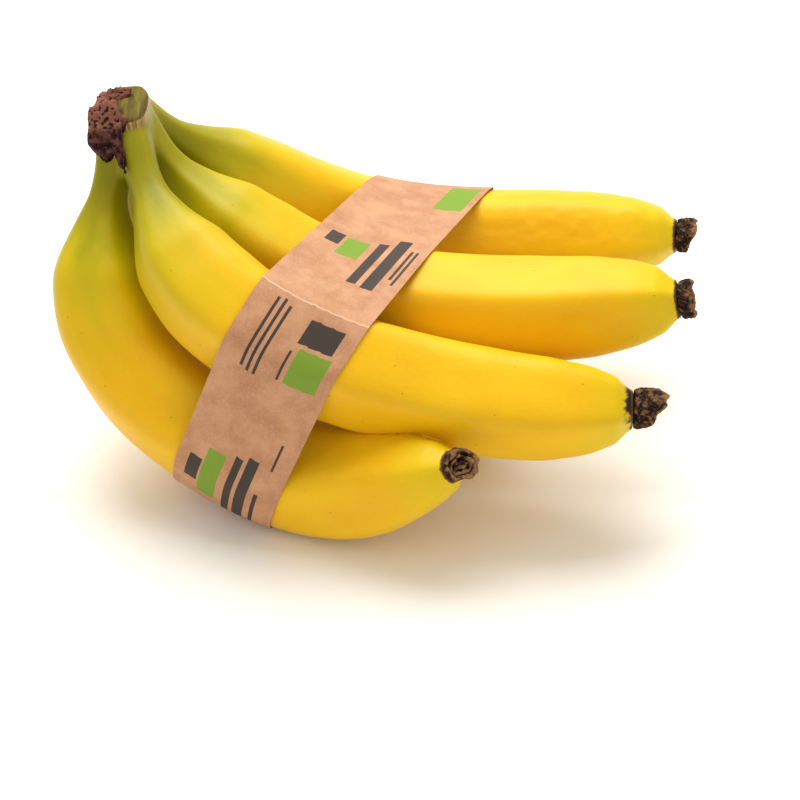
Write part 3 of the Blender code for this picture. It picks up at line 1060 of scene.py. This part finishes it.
def peel_material():
    """Ripe peel with specks, ridges, the crown's end, soot and a brown rim round each stub."""
    nodes = Nodes("banana_peel")
    along = nodes.attribute("along")
    straight = nodes.attribute("straight", "Vector")
    fine = nodes.pattern(straight, *FINE_PATTERN)
    fibres = nodes.pattern(straight, *FIBRE_PATTERN)
    colour = ripe_colour(nodes, along, straight, fine)
    colour = specks_and_ridges(nodes, colour, straight)
    colour, olive = crown_end(nodes, colour, fine, fibres)
    colour = nodes.mix(nodes.attribute("soot"), colour, SOOT)
    rim = nodes.math('MULTIPLY_ADD', fine, RIM_WANDER, along)
    colour = nodes.mix(nodes.ramp(rim, *RIM_RUN), colour, RIM_BROWN)
    nodes.put(nodes.shader.inputs["Base Color"], colour)
    shine = nodes.ramp(fine, 0.2, 0.8, *PEEL_ROUGHNESS)
    rougher = nodes.math('MULTIPLY_ADD', olive, OLIVE_ROUGHER, shine)
    nodes.put(nodes.shader.inputs["Roughness"], rougher)
    nodes.shader.inputs["Specular IOR Level"].default_value = PEEL_SPECULAR
    nodes.bump(nodes.math('MULTIPLY_ADD', fibres, 0.5, fine), **PEEL_BUMP)
    return nodes.material


def bark_material(name, dark, light, top_colour, relief_scale):
    """Dry brown tissue, paler where it stands proud and on top."""
    nodes = Nodes(name)
    relief = nodes.attribute("relief")
    top = nodes.attribute("top")
    place = nodes.add("ShaderNodeTexCoord").outputs["Object"]
    grain = nodes.noise(place, *BARK_GRAIN)
    level = nodes.math('SUBTRACT', grain, GRAIN_MIDDLE)
    mixed = nodes.math('MULTIPLY_ADD', relief, relief_scale, level)
    colour = nodes.mix(nodes.ramp(mixed, *BARK_LIGHT_RUN), dark, light)
    flecks = nodes.ramp(nodes.noise(place, *BARK_FLECKS), *FLECK_RUN, 0.0, FLECK_STRENGTH)
    colour = nodes.mix(flecks, colour, top_colour)
    pale = nodes.math('MULTIPLY', top, nodes.ramp(mixed, *BARK_PALE_RUN))
    colour = nodes.mix(pale, colour, top_colour)
    nodes.put(nodes.shader.inputs["Base Color"], colour)
    nodes.shader.inputs["Roughness"].default_value = BARK_ROUGHNESS
    nodes.shader.inputs["Specular IOR Level"].default_value = BARK_SPECULAR
    nodes.bump(grain, **BARK_BUMP)
    return nodes.material


def paper_material():
    """Mottled kraft paper with plain printed blocks and a painted highlight along the fold."""
    nodes = Nodes("kraft_paper")
    around = nodes.attribute("round")
    across = nodes.attribute("across")
    place = nodes.add("ShaderNodeTexCoord").outputs["Object"]
    clouds = nodes.noise(place, *KRAFT_CLOUDS)
    fibre = nodes.noise(place, *KRAFT_GRAIN)
    colour = nodes.mix(nodes.ramp(clouds, *KRAFT_CLOUD_RUN), KRAFT_DARK, KRAFT_LIGHT)
    pale = nodes.ramp(fibre, *KRAFT_FIBRE_RUN, 0.0, KRAFT_FIBRE_STRENGTH)
    colour = nodes.mix(pale, colour, KRAFT_FIBRE)
    # Painted highlight: a pale line on both sides of the fold
    line = nodes.math('COMPARE', around, 0.0, FOLD_HIGHLIGHT_HALF)
    colour = nodes.mix(nodes.math('MULTIPLY', line, FOLD_HIGHLIGHT_STRENGTH), colour, KRAFT_FOLD_HIGHLIGHT)
    printed = nodes.math('MULTIPLY', nodes.attribute("printed"), PRINT_COVER)
    for start, end, left, right, ink in PRINT:
        inside = nodes.math('MULTIPLY',
                            nodes.math('COMPARE', around, (start + end) / 2, (end - start) / 2),
                            nodes.math('COMPARE', across, (left + right) / 2, (right - left) / 2))
        colour = nodes.mix(nodes.math('MULTIPLY', inside, printed), colour, INKS[ink])
    nodes.put(nodes.shader.inputs["Base Color"], colour)
    nodes.put(nodes.shader.inputs["Roughness"], nodes.ramp(fibre, 0.2, 0.8, *KRAFT_ROUGHNESS))
    nodes.bump(fibre, **KRAFT_BUMP)
    return nodes.material


def floor_and_light():
    """A plain white floor and soft studio light."""
    corners = [(x * FLOOR_HALF, y * FLOOR_HALF, FLAT_LEVEL)
               for x, y in ((-1, -1), (1, -1), (1, 1), (-1, 1))]
    floor = mesh_object("floor", corners, [(0, 1, 2, 3)])
    nodes = Nodes("white_floor")
    nodes.shader.inputs["Base Color"].default_value = (*FLOOR_COLOUR, 1)
    nodes.shader.inputs["Roughness"].default_value = FLOOR_ROUGHNESS
    nodes.shader.inputs["Specular IOR Level"].default_value = FLOOR_SPECULAR
    floor.data.materials.append(nodes.material)
    world = bpy.data.worlds.new("studio")
    bpy.context.scene.world = world
    world.use_nodes = True
    background = world.node_tree.nodes["Background"]
    background.inputs["Color"].default_value = (*AMBIENT_COLOUR, 1)
    background.inputs["Strength"].default_value = AMBIENT_STRENGTH
    data = bpy.data.lights.new("softbox", 'AREA')
    data.shape = 'SQUARE'
    data.size = SOFTBOX_SIZE * MM
    data.energy = SOFTBOX_POWER
    lamp = bpy.data.objects.new("softbox", data)
    lamp.location = np.array(SOFTBOX_PLACE) * MM
    lamp.rotation_euler = (-Vector(lamp.location)).to_track_quat('-Z', 'Y').to_euler()
    bpy.context.scene.collection.objects.link(lamp)


def camera():
    """The photograph's camera."""
    data = bpy.data.cameras.new("camera")
    data.sensor_width = SENSOR_WIDTH
    data.lens = PIXELS_PER_MM * CAMERA_DISTANCE / IMAGE_WIDTH * SENSOR_WIDTH
    data.clip_start, data.clip_end = CAMERA_CLIP
    holder = bpy.data.objects.new("camera", data)
    forward = np.array([0, math.cos(CAMERA_ELEVATION), -math.sin(CAMERA_ELEVATION)])
    place = np.array(CAMERA_TARGET) - CAMERA_DISTANCE * forward
    holder.location = (place - ORIGIN) * MM
    holder.rotation_euler = (math.pi / 2 - CAMERA_ELEVATION, 0, 0)
    bpy.context.scene.collection.objects.link(holder)
    bpy.context.scene.camera = holder


def dress(piece, material, slot, *nodes):
    """Gives a piece its material and body, and hides the solids that it stands for. Its slot is not
    used.
    """
    piece.data.materials.clear()
    piece.data.materials.append(material)
    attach(piece, "root")
    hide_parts(*nodes)


camera()
floor_and_light()
dress(banana_hand(), peel_material(), "peel", "banana_hand")
dress(crown_bark(), bark_material("crown_bark", **BARK_LOOK), "crown_bark", "crown_bark")
dry_material = bark_material("dry_blossom", **BLOSSOM_LOOK)
for number, finger in fingers.items():
    dress(blossom_end(finger), dry_material, "blossom_end", f"blossom_end_{number}")
dress(paper_band(), paper_material(), "kraft_paper", "paper_band")
bpy.context.scene.view_settings.view_transform = 'Standard'
